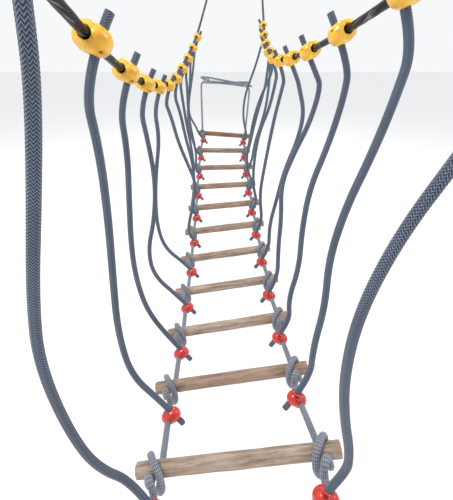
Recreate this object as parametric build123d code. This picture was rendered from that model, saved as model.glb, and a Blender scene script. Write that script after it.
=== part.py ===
from build123d import *
from math import atan, cos, pi, radians, sin, tan
import os

# A rope bridge: a rope ladder slung level, with round wooden rungs hitched into two foot
# ropes, and two handrail ropes joined to the foot ropes by slack droppers.
# Millimetres. +X is right, +Y runs along the bridge to the tree at its far end, +Z is up.
# The origin is midway between the two near foot-rope eyes, on their common line.

# ---- Rungs ----
RUNG_COUNT = 11
RUNG_LENGTH = 500
RUNG_RADIUS = 21
RUNG_CHAMFER = 2
RUNG_PITCH = 313.5
FIRST_RUNG_Y = 345
# Each rung's sideways offset from the centre line, and how far its right end is tipped up.
RUNG_SHIFT = [25, 14, 8, 0, -6, -14, -20, -27, -33, -37, -26]
RUNG_TIP = [10, 11, 11, 10, 9, 7.5, 5.5, 3.5, 1.5, -0.5, -4]

# ---- Ropes ----
# Foot ropes, handrails and droppers are all the same thickness.
ROPE_RADIUS = 9
CHANNEL_CLEARANCE = 0.3

# ---- Sag of the deck: height of the rungs over the origin's level ----
DECK_LOW_Y = 1350
DECK_LOW_Z = -210
DECK_NEAR_SAG = 0.000116
DECK_FAR_SAG = 0.000067

# ---- Sag and bow of the handrails ----
# A rail rises from its low point with the square of the distance, and past it by a slope too.
RAIL_LOW_Y = 1950
LEFT_RAIL_LOW_Z = 645
LEFT_RAIL_NEAR_SAG = 0.0000815
LEFT_RAIL_FAR_SLOPE = 0.09
LEFT_RAIL_FAR_SAG = 0.00007
RIGHT_RAIL_LOW_Z = 755
RIGHT_RAIL_NEAR_SAG = 0.000063
RIGHT_RAIL_FAR_SLOPE = 0.05
RIGHT_RAIL_FAR_SAG = 0.000085
# Seen from above each rail bows: its x at the middle of the bow, that point's y, and how fast
# it leaves that x on the near and on the far side.
LEFT_RAIL_BOW_X = -301
LEFT_RAIL_BOW_Y = 1700
LEFT_RAIL_NEAR_BOW = 0.00004
LEFT_RAIL_FAR_BOW = 0.0000167
RIGHT_RAIL_BOW_X = 272
RIGHT_RAIL_BOW_Y = 1950
RIGHT_RAIL_NEAR_BOW = 0.000022
RIGHT_RAIL_FAR_BOW = 0.000019

# ---- Hitches ----
HITCH_OFFSET = 202
# One half hitch, from the near side to the far side of its rung: outward from the hitch's
# middle, forward along the bridge, and up, from the rung's axis.
HITCH_ROUTE = [
    (-5, -74, -21),
    (-5, -61, -15),
    (-4, -57, -3),
    (-2, -56.5, 9.5),
    (2, -48.5, 17.5),
    (6, -37.5, 17.5),
    (11, -30.5, 9.5),
    (14, -31, -4),
    (15, -30.5, -12),
    (16, -26, -22),
    (17, -10, -32.5),
    (18, 13, -32),
    (18, 32, -13),
    (17, 32, 13),
    (11, 13.5, 32.5),
    (-3, -12, 33),
    (-15, -29, 18),
    (-19, -36, -5),
    (-17, -35, -26),
    (-7, -27, -45),
    (2, -8, -53),
    (4, 14, -52),
    (5, 42, -43),
]

# ---- Cross connectors ----
CONNECTOR_BEFORE_RUNG = 105
RED_BEFORE_HITCH = 37
# Each rope's axis lies this far to its own side of the connector's split.
AXIS_DEPTH = 9.8
# Each body is a bean across its main rope, from that rope's side to the dropper's:
# half its length, the radius at its ends and the radius at its waist.
RED_BODY = (30, 13, 24)
YELLOW_BODY = (35, 16, 28)
SCREW_AT = (13.8, 13.8)
CONNECTOR_CUT_LENGTH = 110
SCREW_RADIUS = 1.75
SCREW_HEAD_RADIUS = 3.3
SCREW_HEAD_HEIGHT = 2.5
SCREW_TIP_DEPTH = -9
SCREW_HEAD_DEPTH = 8
SCREW_POCKET_REACH = 30
SCREW_CLEARANCE = 0.05

# ---- Droppers ----
RED_LEAN = 35
YELLOW_LEAN = 28
LEFT_FIRST_YELLOW_LEAN = 0
TOP_TAIL = 54
LOWER_TAIL = 46
DROPPER_LEAD = 74
# Where each dropper hangs between its two connectors: (x, z), from the top down.
LEFT_DROPPERS = [
    [(-214, 740), (-240, 630), (-285, 458), (-306, 330), (-293, 170), (-260, 50)],
    [(-259, 600), (-264, 450), (-276, 300), (-288, 130), (-272, -30)],
    [(-286, 530), (-300, 380), (-314, 210), (-310, 80), (-284, -50)],
    [(-290, 500), (-276, 340), (-296, 180), (-336, 40), (-322, -90)],
    [(-302, 450), (-330, 300), (-348, 150), (-350, 0), (-318, -120)],
    [(-290, 500), (-258, 360), (-212, 240), (-172, 130), (-196, 0), (-222, -100)],
    [(-276, 470), (-252, 320), (-220, 190), (-208, 60), (-222, -60)],
    [(-294, 520), (-278, 370), (-252, 220), (-238, 80), (-240, -40)],
    [(-290, 560), (-292, 410), (-276, 270), (-250, 140), (-242, 30)],
    [(-292, 610), (-314, 460), (-328, 330), (-320, 200), (-286, 90)],
    [(-290, 680), (-318, 530), (-346, 390), (-344, 280), (-284, 180)],
]
RIGHT_DROPPERS = [
    [(328, 770), (280, 670), (230, 560), (198, 430), (196, 300), (214, 190), (238, 100)],
    [(320, 690), (296, 590), (262, 480), (242, 350), (250, 210), (236, 80)],
    [(318, 680), (292, 550), (252, 420), (242, 280), (246, 140), (220, 10)],
    [(326, 680), (300, 560), (252, 450), (212, 330), (224, 190), (220, 60)],
    [(312, 645), (340, 550), (320, 430), (272, 300), (242, 140), (216, 10)],
    [(278, 620), (250, 490), (228, 350), (206, 200), (190, 60)],
    [(282, 630), (256, 500), (204, 370), (180, 230), (172, 90), (180, -10)],
    [(292, 670), (232, 540), (190, 410), (166, 270), (144, 140), (152, 30)],
    [(316, 700), (312, 570), (298, 430), (262, 290), (220, 160)],
    [(334, 770), (326, 630), (302, 490), (262, 350), (232, 220), (214, 120)],
    [(300, 860), (262, 720), (214, 590), (166, 450), (152, 310), (166, 200)],
]

# ---- Rope-end eyes ----
EYE_BORE_RADIUS = 15
EYE_OUTER_RADIUS = 30
EYE_WIDTH = 14
SLEEVE_RADIUS = 13
SLEEVE_START = 24
SLEEVE_END = 85
ROPE_START = 70
EYE_EDGE = 2
LEFT_NEAR_RAIL_EYE = Vector(-196, 0, 940)
RIGHT_NEAR_RAIL_EYE = Vector(338, 0, 1000)
LEFT_FAR_RAIL_EYE = Vector(-164, 4230, 1370)
RIGHT_FAR_RAIL_EYE = Vector(334, 4000, 1330)

# ---- Loops round the tree at the foot ropes' far ends ----
TREE_Y = 4085
LEFT_LOOP_RADIUS = 268
RIGHT_LOOP_RADIUS = 243
LOOP_START_ANGLE = 75
LOOP_STEP_ANGLE = 30
# Height of each point of the loop, one every step, round the tree to the rope's own clamp.
LEFT_LOOP_HEIGHTS = [
    480, 520, 522, 508, 494, 480, 476, 488, 512, 538, 562, 580, 578, 556, 536,
]
RIGHT_LOOP_HEIGHTS = [
    430, 470, 476, 486, 498, 510, 518, 524, 528, 532, 534, 534, 524, 504, 494,
]
CLAMP_THICKNESS = 23
CLAMP_LENGTH = 44
CLAMP_EDGE = 1.5

SIDES = {"left": -1, "right": 1}


def unit(vector):
    return vector.normalized()


def corner_radii(points):
    """The largest neat arc at each corner: 0.45 of its shorter run over tan(half the turn)."""
    radii = []
    for before, corner, after in zip(points, points[1:], points[2:]):
        run_in = corner - before
        run_out = after - corner
        half_turn = radians(run_in.get_angle(run_out)) / 2
        radii.append(0.45 * min(run_in.length, run_out.length) / tan(half_turn))
    return radii


def rope_solid(points, radius):
    """A round rope along straight runs joined by tangent arcs."""
    path = FilletPolyline(*points, radius=corner_radii(points))
    section = Plane(origin=path @ 0, z_dir=path % 0) * Circle(radius)
    return sweep(section, path=path), path.length


def rung_y(index):
    return FIRST_RUNG_Y + index * RUNG_PITCH


def connector_y(index):
    return rung_y(index) - CONNECTOR_BEFORE_RUNG


def deck_sag(y):
    return DECK_NEAR_SAG if y < DECK_LOW_Y else DECK_FAR_SAG


def rung_plane(index):
    """A rung's own frame: x along the rung to the right, z up, square to the deck's slope."""
    y = rung_y(index)
    from_low = y - DECK_LOW_Y
    height = DECK_LOW_Z + deck_sag(y) * from_low**2
    slope = atan(2 * deck_sag(y) * from_low)
    tip = radians(RUNG_TIP[index])
    along_rung = Vector(cos(tip), 0, sin(tip))
    forward = Vector(0, cos(slope), sin(slope))
    return Plane(
        origin=(RUNG_SHIFT[index], y, height),
        x_dir=along_rung,
        z_dir=along_rung.cross(forward),
    )


def hitch_points(index, side):
    """The route of one hitch, mirrored for its side and laid on its rung."""
    frame = rung_plane(index)
    points = []
    for outward, forward, up in HITCH_ROUTE:
        local = Vector(side * (HITCH_OFFSET + outward), forward, up)
        points.append(frame.from_local_coords(local))
    return points


def loop_points(side):
    """The foot rope's turn round the tree, ending back beside itself."""
    radius = LEFT_LOOP_RADIUS if side < 0 else RIGHT_LOOP_RADIUS
    heights = LEFT_LOOP_HEIGHTS if side < 0 else RIGHT_LOOP_HEIGHTS
    corner_radius = radius / cos(radians(LOOP_STEP_ANGLE / 2))
    points = []
    for step, height in enumerate(heights):
        angle = radians(LOOP_START_ANGLE + step * LOOP_STEP_ANGLE)
        x = side * corner_radius * sin(angle)
        y = TREE_Y - corner_radius * cos(angle)
        points.append(Vector(x, y, height))
    return points


def foot_rope_points(side):
    eye = Vector(side * HITCH_OFFSET, 0, 0)
    points = []
    for index in range(RUNG_COUNT):
        points += hitch_points(index, side)
    start = eye + unit(points[0] - eye) * ROPE_START
    return [start] + points + loop_points(side)


def rail_height(y, side):
    from_low = y - RAIL_LOW_Y
    if side < 0:
        near = LEFT_RAIL_NEAR_SAG * from_low**2
        far = LEFT_RAIL_FAR_SLOPE * from_low + LEFT_RAIL_FAR_SAG * from_low**2
        return LEFT_RAIL_LOW_Z + (near if from_low < 0 else far)
    near = RIGHT_RAIL_NEAR_SAG * from_low**2
    far = RIGHT_RAIL_FAR_SLOPE * from_low + RIGHT_RAIL_FAR_SAG * from_low**2
    return RIGHT_RAIL_LOW_Z + (near if from_low < 0 else far)


def rail_x(y, side):
    if side < 0:
        along = y - LEFT_RAIL_BOW_Y
        bow = LEFT_RAIL_NEAR_BOW if along < 0 else LEFT_RAIL_FAR_BOW
        return LEFT_RAIL_BOW_X + bow * along**2
    along = y - RIGHT_RAIL_BOW_Y
    bow = RIGHT_RAIL_NEAR_BOW if along < 0 else RIGHT_RAIL_FAR_BOW
    return RIGHT_RAIL_BOW_X + bow * along**2


def rail_eyes(side):
    if side < 0:
        return LEFT_NEAR_RAIL_EYE, LEFT_FAR_RAIL_EYE
    return RIGHT_NEAR_RAIL_EYE, RIGHT_FAR_RAIL_EYE


def rail_points(side):
    """The handrail bends a little halfway between connectors, so it is straight in each."""
    near_eye, far_eye = rail_eyes(side)
    bends = []
    for index in range(RUNG_COUNT):
        y = connector_y(index) + RUNG_PITCH / 2
        bends.append(Vector(rail_x(y, side), y, rail_height(y, side)))
    start = near_eye + unit(bends[0] - near_eye) * ROPE_START
    end = far_eye + unit(bends[-1] - far_eye) * ROPE_START
    return [start] + bends + [end]


def connector_plane(centre_of_main, main_direction, lean, side):
    """A connector's frame: x along the main rope, y up the dropper, z from rope to dropper."""
    inward = Vector(-side, 0, 0)
    raw = inward * sin(radians(lean)) + Vector(0, 0, cos(radians(lean)))
    forward = unit(main_direction)
    dropper = unit(raw - forward * raw.dot(forward))
    across = forward.cross(dropper)
    if across.dot(inward) < 0:
        across = across * -1
        forward = forward * -1
    origin = centre_of_main + across * AXIS_DEPTH
    return Plane(origin=origin, x_dir=forward, z_dir=across)


def red_planes(side):
    """One frame on the straight run just before each hitch."""
    rope = foot_rope_points(side)
    planes = []
    for index in range(RUNG_COUNT):
        entry = rope[1 + index * len(HITCH_ROUTE)]
        before = rope[index * len(HITCH_ROUTE)]
        direction = unit(entry - before)
        centre = entry - direction * RED_BEFORE_HITCH
        planes.append(connector_plane(centre, direction, -RED_LEAN, side))
    return planes


def yellow_planes(side):
    """One frame on each straight run of the handrail, at the connector's station."""
    rope = rail_points(side)
    planes = []
    for index in range(RUNG_COUNT):
        before = rope[index]
        after = rope[index + 1]
        share = (connector_y(index) - before.Y) / (after.Y - before.Y)
        centre = before + (after - before) * share
        lean = LEFT_FIRST_YELLOW_LEAN if side < 0 and index == 0 else YELLOW_LEAN
        planes.append(connector_plane(centre, after - before, lean, side))
    return planes


def dropper_points(index, side, red, yellow):
    """From the short tail over the handrail down to the short tail under the foot rope."""
    hanging = (LEFT_DROPPERS if side < 0 else RIGHT_DROPPERS)[index]
    top = yellow.origin + yellow.z_dir * AXIS_DEPTH
    low = red.origin + red.z_dir * AXIS_DEPTH
    up_at_top = yellow.y_dir * (1 if yellow.y_dir.Z > 0 else -1)
    up_at_low = red.y_dir * (1 if red.y_dir.Z > 0 else -1)
    y = connector_y(index)
    middle = [Vector(x, y, z) for x, z in hanging]
    above = [top + up_at_top * TOP_TAIL, top - up_at_top * DROPPER_LEAD]
    below = [low + up_at_low * DROPPER_LEAD, low - up_at_low * LOWER_TAIL]
    return above + middle + below


def bean_body(half_length, end_radius, waist_radius):
    """The bean-shaped outline, longest from the main rope's side to the dropper's."""
    with BuildPart() as body:
        with BuildSketch(Plane.XZ):
            with BuildLine():
                Line((0, half_length), (0, -half_length))
                Line((0, -half_length), (end_radius, -half_length))
                ThreePointArc((end_radius, -half_length), (waist_radius, 0), (end_radius, half_length))
                Line((end_radius, half_length), (0, half_length))
            make_face()
        revolve(axis=Axis.Z)
    return body.part


def screw_solid(x, y, extra=0.0, reach=SCREW_HEAD_HEIGHT):
    """A pan-head screw along z; the pocket for it is the same shape, a little larger."""
    shank_length = SCREW_HEAD_DEPTH - SCREW_TIP_DEPTH + extra
    shank = Pos(x, y, SCREW_TIP_DEPTH - extra) * Cylinder(
        SCREW_RADIUS + extra,
        shank_length,
        align=(Align.CENTER, Align.CENTER, Align.MIN),
    )
    head = Pos(x, y, SCREW_HEAD_DEPTH) * Cylinder(
        SCREW_HEAD_RADIUS + extra,
        reach,
        align=(Align.CENTER, Align.CENTER, Align.MIN),
    )
    return shank + head


def connector_parts(body):
    """The main rope's shell, the dropper's shell and two screws, in the connector's frame."""
    length = CONNECTOR_CUT_LENGTH
    channel = Cylinder(ROPE_RADIUS + CHANNEL_CLEARANCE, length)
    main_channel = Pos(0, 0, -AXIS_DEPTH) * (Rot(0, 90, 0) * channel)
    dropper_channel = Pos(0, 0, AXIS_DEPTH) * (Rot(90, 0, 0) * channel)
    screws = []
    pockets = []
    for sign in (-1, 1):
        x = sign * SCREW_AT[0]
        y = sign * SCREW_AT[1]
        screws.append(screw_solid(x, y))
        pockets.append(screw_solid(x, y, SCREW_CLEARANCE, SCREW_POCKET_REACH))
    shell = body - main_channel - dropper_channel - pockets[0] - pockets[1]
    half = Box(length, length, length, align=(Align.CENTER, Align.CENTER, Align.MIN))
    main_half = shell - half
    dropper_half = shell & half
    return main_half, dropper_half, screws


def eye_fitting(centre, towards_rope):
    """A pressed eye: a ring to pin through, and a sleeve that grips the rope's end."""
    ring = Rot(90, 0, 0) * Cylinder(EYE_OUTER_RADIUS, EYE_WIDTH)
    sleeve = Pos(SLEEVE_START, 0, 0) * (
        Rot(0, 90, 0)
        * Cylinder(
            SLEEVE_RADIUS,
            SLEEVE_END - SLEEVE_START,
            align=(Align.CENTER, Align.CENTER, Align.MIN),
        )
    )
    socket = Pos(ROPE_START, 0, 0) * (
        Rot(0, 90, 0)
        * Cylinder(
            ROPE_RADIUS + CHANNEL_CLEARANCE,
            SLEEVE_END,
            align=(Align.CENTER, Align.CENTER, Align.MIN),
        )
    )
    bore = Rot(90, 0, 0) * Cylinder(EYE_BORE_RADIUS, 4 * EYE_WIDTH)
    ring = chamfer(ring.edges(), EYE_EDGE)
    sleeve = chamfer(sleeve.edges(), EYE_EDGE)
    fitting = ring + sleeve - socket - bore
    direction = unit(towards_rope)
    pin_axis = unit(Vector(1, 0, 0) - direction * direction.X)
    frame = Plane(origin=centre, x_dir=direction, z_dir=direction.cross(pin_axis))
    return frame * fitting


def tree_clamp(side, rope_points):
    """The oval ferrule that holds each loop's tail beside its own rope."""
    loop = rope_points[-len(LEFT_LOOP_HEIGHTS):]
    tail_end = loop[-1]
    inner = (loop[-2] + tail_end) * 0.5
    standing = (loop[1] + loop[2]) * 0.5
    along = unit(tail_end - loop[-2])
    centre = (inner + standing) * 0.5
    frame = Plane(origin=centre, x_dir=unit(inner - standing), z_dir=along)
    block = extrude(
        SlotCenterToCenter((inner - standing).length, CLAMP_THICKNESS),
        CLAMP_LENGTH / 2,
        both=True,
    )
    block = frame * fillet(block.edges(), CLAMP_EDGE)
    radius = ROPE_RADIUS + CHANNEL_CLEARANCE
    standing_hole, _ = rope_solid(loop[:5], radius)
    tail_hole, _ = rope_solid(loop[-5:], radius)
    return block - standing_hole - tail_hole


def save(name, *solids):
    """Each node is one solid, or a group of separate identical solids."""
    shape = solids[0] if len(solids) == 1 else Compound(children=list(solids))
    export_step(shape, f"parts/{name}.step")


def save_rope(name, points):
    solid, length = rope_solid(points, ROPE_RADIUS)
    expected = pi * ROPE_RADIUS**2 * length
    tightest = min(corner_radii(points))
    save(name, solid)
    print(
        f"{name}: length {length:.0f}, tightest radius {tightest:.1f},"
        f" volume / (section x length) {solid.volume / expected:.4f}"
    )


def build_rungs():
    blank = Rot(0, 90, 0) * Cylinder(RUNG_RADIUS, RUNG_LENGTH)
    blank = chamfer(blank.edges().filter_by(GeomType.CIRCLE), RUNG_CHAMFER)
    for index in range(RUNG_COUNT):
        save(f"rung_{index + 1:02d}", rung_plane(index) * blank)


def build_connectors(name, colour, planes, body):
    main_half, dropper_half, screws = connector_parts(body)
    save(f"{name}_{colour}_rope_shells", *[plane * main_half for plane in planes])
    save(f"{name}_{colour}_dropper_shells", *[plane * dropper_half for plane in planes])
    save(f"{name}_{colour}_screws", *[plane * screw for plane in planes for screw in screws])


def build_side(name, side):
    foot = foot_rope_points(side)
    rail = rail_points(side)
    reds = red_planes(side)
    yellows = yellow_planes(side)
    near_rail_eye, far_rail_eye = rail_eyes(side)
    foot_eye = Vector(side * HITCH_OFFSET, 0, 0)
    save_rope(f"{name}_foot_rope", foot)
    save_rope(f"{name}_handrail_rope", rail)
    save(f"{name}_foot_rope_eye", eye_fitting(foot_eye, foot[1] - foot_eye))
    save(f"{name}_handrail_near_eye", eye_fitting(near_rail_eye, rail[1] - near_rail_eye))
    save(f"{name}_handrail_far_eye", eye_fitting(far_rail_eye, rail[-2] - far_rail_eye))
    save(f"{name}_tree_loop_clamp", tree_clamp(side, foot))
    build_connectors(name, "red", reds, bean_body(*RED_BODY))
    build_connectors(name, "yellow", yellows, bean_body(*YELLOW_BODY))
    for index in range(RUNG_COUNT):
        points = dropper_points(index, side, reds[index], yellows[index])
        save_rope(f"{name}_dropper_{index + 1:02d}", points)


os.makedirs("parts", exist_ok=True)
build_rungs()
for side_name, side_sign in SIDES.items():
    build_side(side_name, side_sign)
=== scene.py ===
from math import atan, cos, pi, radians, sin, sqrt, tau

import bmesh
import bpy
import numpy as np
from mathutils import Matrix, Vector


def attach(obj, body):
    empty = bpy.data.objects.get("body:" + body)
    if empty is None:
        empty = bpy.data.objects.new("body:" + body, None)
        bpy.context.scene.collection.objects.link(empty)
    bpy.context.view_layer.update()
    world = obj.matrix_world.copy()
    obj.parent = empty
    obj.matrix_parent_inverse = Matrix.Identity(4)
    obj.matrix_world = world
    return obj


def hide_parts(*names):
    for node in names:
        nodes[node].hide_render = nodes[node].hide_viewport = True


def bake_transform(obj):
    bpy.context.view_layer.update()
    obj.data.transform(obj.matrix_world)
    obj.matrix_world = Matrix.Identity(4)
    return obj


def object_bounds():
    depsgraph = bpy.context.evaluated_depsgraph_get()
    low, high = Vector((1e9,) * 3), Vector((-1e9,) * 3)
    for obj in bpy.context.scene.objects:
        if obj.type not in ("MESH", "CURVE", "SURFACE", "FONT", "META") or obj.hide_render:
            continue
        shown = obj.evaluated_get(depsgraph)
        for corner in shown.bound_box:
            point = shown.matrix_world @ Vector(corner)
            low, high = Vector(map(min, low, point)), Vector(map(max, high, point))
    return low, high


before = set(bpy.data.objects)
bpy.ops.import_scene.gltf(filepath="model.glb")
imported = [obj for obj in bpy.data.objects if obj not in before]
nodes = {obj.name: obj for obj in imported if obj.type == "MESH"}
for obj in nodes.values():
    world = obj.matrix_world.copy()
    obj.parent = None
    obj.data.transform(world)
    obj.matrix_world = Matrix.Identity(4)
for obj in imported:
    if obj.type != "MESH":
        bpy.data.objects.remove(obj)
cad_box = [list(corner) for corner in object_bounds()]


# ---- The object's own sizes, as its CAD model has them, in metres ----
RUNG_COUNT = 11
RUNG_LENGTH = 0.500
RUNG_RADIUS = 0.021
RUNG_PITCH = 0.3135
FIRST_RUNG_Y = 0.345
RUNG_SHIFT = [0.025, 0.014, 0.008, 0, -0.006, -0.014, -0.020, -0.027, -0.033, -0.037, -0.026]
RUNG_TIP = [10, 11, 11, 10, 9, 7.5, 5.5, 3.5, 1.5, -0.5, -4]

ROPE_RADIUS = 0.009
CHANNEL_CLEARANCE = 0.0003

DECK_LOW_Y = 1.350
DECK_LOW_Z = -0.210
DECK_NEAR_SAG = 0.116
DECK_FAR_SAG = 0.067

RAIL_LOW_Y = 1.950
LEFT_RAIL_LOW_Z = 0.645
LEFT_RAIL_NEAR_SAG = 0.0815
LEFT_RAIL_FAR_SLOPE = 0.09
LEFT_RAIL_FAR_SAG = 0.070
RIGHT_RAIL_LOW_Z = 0.755
RIGHT_RAIL_NEAR_SAG = 0.063
RIGHT_RAIL_FAR_SLOPE = 0.05
RIGHT_RAIL_FAR_SAG = 0.085
LEFT_RAIL_BOW_X = -0.301
LEFT_RAIL_BOW_Y = 1.700
LEFT_RAIL_NEAR_BOW = 0.040
LEFT_RAIL_FAR_BOW = 0.0167
RIGHT_RAIL_BOW_X = 0.272
RIGHT_RAIL_BOW_Y = 1.950
RIGHT_RAIL_NEAR_BOW = 0.022
RIGHT_RAIL_FAR_BOW = 0.019

HITCH_OFFSET = 0.202
HITCH_ROUTE = [
    (-0.0050, -0.0740, -0.0210),
    (-0.0050, -0.0610, -0.0150),
    (-0.0040, -0.0570, -0.0030),
    (-0.0020, -0.0565, 0.0095),
    (0.0020, -0.0485, 0.0175),
    (0.0060, -0.0375, 0.0175),
    (0.0110, -0.0305, 0.0095),
    (0.0140, -0.0310, -0.0040),
    (0.0150, -0.0305, -0.0120),
    (0.0160, -0.0260, -0.0220),
    (0.0170, -0.0100, -0.0325),
    (0.0180, 0.0130, -0.0320),
    (0.0180, 0.0320, -0.0130),
    (0.0170, 0.0320, 0.0130),
    (0.0110, 0.0135, 0.0325),
    (-0.0030, -0.0120, 0.0330),
    (-0.0150, -0.0290, 0.0180),
    (-0.0190, -0.0360, -0.0050),
    (-0.0170, -0.0350, -0.0260),
    (-0.0070, -0.0270, -0.0450),
    (0.0020, -0.0080, -0.0530),
    (0.0040, 0.0140, -0.0520),
    (0.0050, 0.0420, -0.0430),
]

CONNECTOR_BEFORE_RUNG = 0.105
RED_BEFORE_HITCH = 0.037
AXIS_DEPTH = 0.0098
# Half length, end radius and waist radius of each colour's body.
RED_BODY = (0.030, 0.013, 0.024)
YELLOW_BODY = (0.035, 0.016, 0.028)
SCREW_AT = 0.0138

RED_LEAN = 35
YELLOW_LEAN = 28
LEFT_FIRST_YELLOW_LEAN = 0
TOP_TAIL = 0.054
LOWER_TAIL = 0.046
DROPPER_LEAD = 0.074
LEFT_DROPPERS = [
    [(-0.214, 0.740), (-0.240, 0.630), (-0.285, 0.458), (-0.306, 0.330), (-0.293, 0.170), (-0.260, 0.050)],
    [(-0.259, 0.600), (-0.264, 0.450), (-0.276, 0.300), (-0.288, 0.130), (-0.272, -0.030)],
    [(-0.286, 0.530), (-0.300, 0.380), (-0.314, 0.210), (-0.310, 0.080), (-0.284, -0.050)],
    [(-0.290, 0.500), (-0.276, 0.340), (-0.296, 0.180), (-0.336, 0.040), (-0.322, -0.090)],
    [(-0.302, 0.450), (-0.330, 0.300), (-0.348, 0.150), (-0.350, 0.000), (-0.318, -0.120)],
    [(-0.290, 0.500), (-0.258, 0.360), (-0.212, 0.240), (-0.172, 0.130), (-0.196, 0.000), (-0.222, -0.100)],
    [(-0.276, 0.470), (-0.252, 0.320), (-0.220, 0.190), (-0.208, 0.060), (-0.222, -0.060)],
    [(-0.294, 0.520), (-0.278, 0.370), (-0.252, 0.220), (-0.238, 0.080), (-0.240, -0.040)],
    [(-0.290, 0.560), (-0.292, 0.410), (-0.276, 0.270), (-0.250, 0.140), (-0.242, 0.030)],
    [(-0.292, 0.610), (-0.314, 0.460), (-0.328, 0.330), (-0.320, 0.200), (-0.286, 0.090)],
    [(-0.290, 0.680), (-0.318, 0.530), (-0.346, 0.390), (-0.344, 0.280), (-0.284, 0.180)],
]
RIGHT_DROPPERS = [
    [(0.328, 0.770), (0.280, 0.670), (0.230, 0.560), (0.198, 0.430), (0.196, 0.300), (0.214, 0.190),
     (0.238, 0.100)],
    [(0.320, 0.690), (0.296, 0.590), (0.262, 0.480), (0.242, 0.350), (0.250, 0.210), (0.236, 0.080)],
    [(0.318, 0.680), (0.292, 0.550), (0.252, 0.420), (0.242, 0.280), (0.246, 0.140), (0.220, 0.010)],
    [(0.326, 0.680), (0.300, 0.560), (0.252, 0.450), (0.212, 0.330), (0.224, 0.190), (0.220, 0.060)],
    [(0.312, 0.645), (0.340, 0.550), (0.320, 0.430), (0.272, 0.300), (0.242, 0.140), (0.216, 0.010)],
    [(0.278, 0.620), (0.250, 0.490), (0.228, 0.350), (0.206, 0.200), (0.190, 0.060)],
    [(0.282, 0.630), (0.256, 0.500), (0.204, 0.370), (0.180, 0.230), (0.172, 0.090), (0.180, -0.010)],
    [(0.292, 0.670), (0.232, 0.540), (0.190, 0.410), (0.166, 0.270), (0.144, 0.140), (0.152, 0.030)],
    [(0.316, 0.700), (0.312, 0.570), (0.298, 0.430), (0.262, 0.290), (0.220, 0.160)],
    [(0.334, 0.770), (0.326, 0.630), (0.302, 0.490), (0.262, 0.350), (0.232, 0.220), (0.214, 0.120)],
    [(0.300, 0.860), (0.262, 0.720), (0.214, 0.590), (0.166, 0.450), (0.152, 0.310), (0.166, 0.200)],
]

ROPE_START = 0.070
LEFT_NEAR_RAIL_EYE = Vector((-0.196, 0, 0.940))
RIGHT_NEAR_RAIL_EYE = Vector((0.338, 0, 1.000))
LEFT_FAR_RAIL_EYE = Vector((-0.164, 4.230, 1.370))
RIGHT_FAR_RAIL_EYE = Vector((0.334, 4.000, 1.330))

TREE_Y = 4.085
LEFT_LOOP_RADIUS = 0.268
RIGHT_LOOP_RADIUS = 0.243
LOOP_START_ANGLE = 75
LOOP_STEP_ANGLE = 30
LEFT_LOOP_HEIGHTS = [
    0.480, 0.520, 0.522, 0.508, 0.494, 0.480, 0.476, 0.488, 0.512, 0.538, 0.562, 0.580, 0.578, 0.556, 0.536,
]
RIGHT_LOOP_HEIGHTS = [
    0.430, 0.470, 0.476, 0.486, 0.498, 0.510, 0.518, 0.524, 0.528, 0.532, 0.534, 0.534, 0.524, 0.504, 0.494,
]

SIDES = {"left": -1, "right": 1}


# ---- Routes ----
def rung_y(index):
    return FIRST_RUNG_Y + index * RUNG_PITCH


def connector_y(index):
    return rung_y(index) - CONNECTOR_BEFORE_RUNG


def deck_sag(y):
    return DECK_NEAR_SAG if y < DECK_LOW_Y else DECK_FAR_SAG


def axes_matrix(origin, x_axis, y_axis, z_axis):
    """The matrix that lays a piece drawn at the origin onto these axes."""
    matrix = Matrix.Identity(4)
    for column, axis in enumerate((x_axis, y_axis, z_axis, origin)):
        for row in range(3):
            matrix[row][column] = axis[row]
    return matrix


def rung_matrix(index):
    """A rung's own frame: x along the rung to the right, z up, square to the deck's slope."""
    y = rung_y(index)
    from_low = y - DECK_LOW_Y
    height = DECK_LOW_Z + deck_sag(y) * from_low**2
    slope = atan(2 * deck_sag(y) * from_low)
    tip = radians(RUNG_TIP[index])
    along_rung = Vector((cos(tip), 0, sin(tip)))
    up = along_rung.cross(Vector((0, cos(slope), sin(slope)))).normalized()
    return axes_matrix(Vector((RUNG_SHIFT[index], y, height)), along_rung, up.cross(along_rung), up)


def hitch_points(index, side):
    place = rung_matrix(index)
    return [
        place @ Vector((side * (HITCH_OFFSET + outward), forward, up))
        for outward, forward, up in HITCH_ROUTE
    ]


def loop_points(side):
    """The foot rope's turn round the tree, ending back beside itself."""
    radius = LEFT_LOOP_RADIUS if side < 0 else RIGHT_LOOP_RADIUS
    heights = LEFT_LOOP_HEIGHTS if side < 0 else RIGHT_LOOP_HEIGHTS
    corner_radius = radius / cos(radians(LOOP_STEP_ANGLE / 2))
    points = []
    for step, height in enumerate(heights):
        angle = radians(LOOP_START_ANGLE + step * LOOP_STEP_ANGLE)
        x = side * corner_radius * sin(angle)
        y = TREE_Y - corner_radius * cos(angle)
        points.append(Vector((x, y, height)))
    return points


def foot_rope_points(side):
    eye = Vector((side * HITCH_OFFSET, 0, 0))
    points = []
    for index in range(RUNG_COUNT):
        points += hitch_points(index, side)
    start = eye + (points[0] - eye).normalized() * ROPE_START
    return [start] + points + loop_points(side)


def rail_height(y, side):
    from_low = y - RAIL_LOW_Y
    if side < 0:
        near = LEFT_RAIL_NEAR_SAG * from_low**2
        far = LEFT_RAIL_FAR_SLOPE * from_low + LEFT_RAIL_FAR_SAG * from_low**2
        return LEFT_RAIL_LOW_Z + (near if from_low < 0 else far)
    near = RIGHT_RAIL_NEAR_SAG * from_low**2
    far = RIGHT_RAIL_FAR_SLOPE * from_low + RIGHT_RAIL_FAR_SAG * from_low**2
    return RIGHT_RAIL_LOW_Z + (near if from_low < 0 else far)


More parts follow.
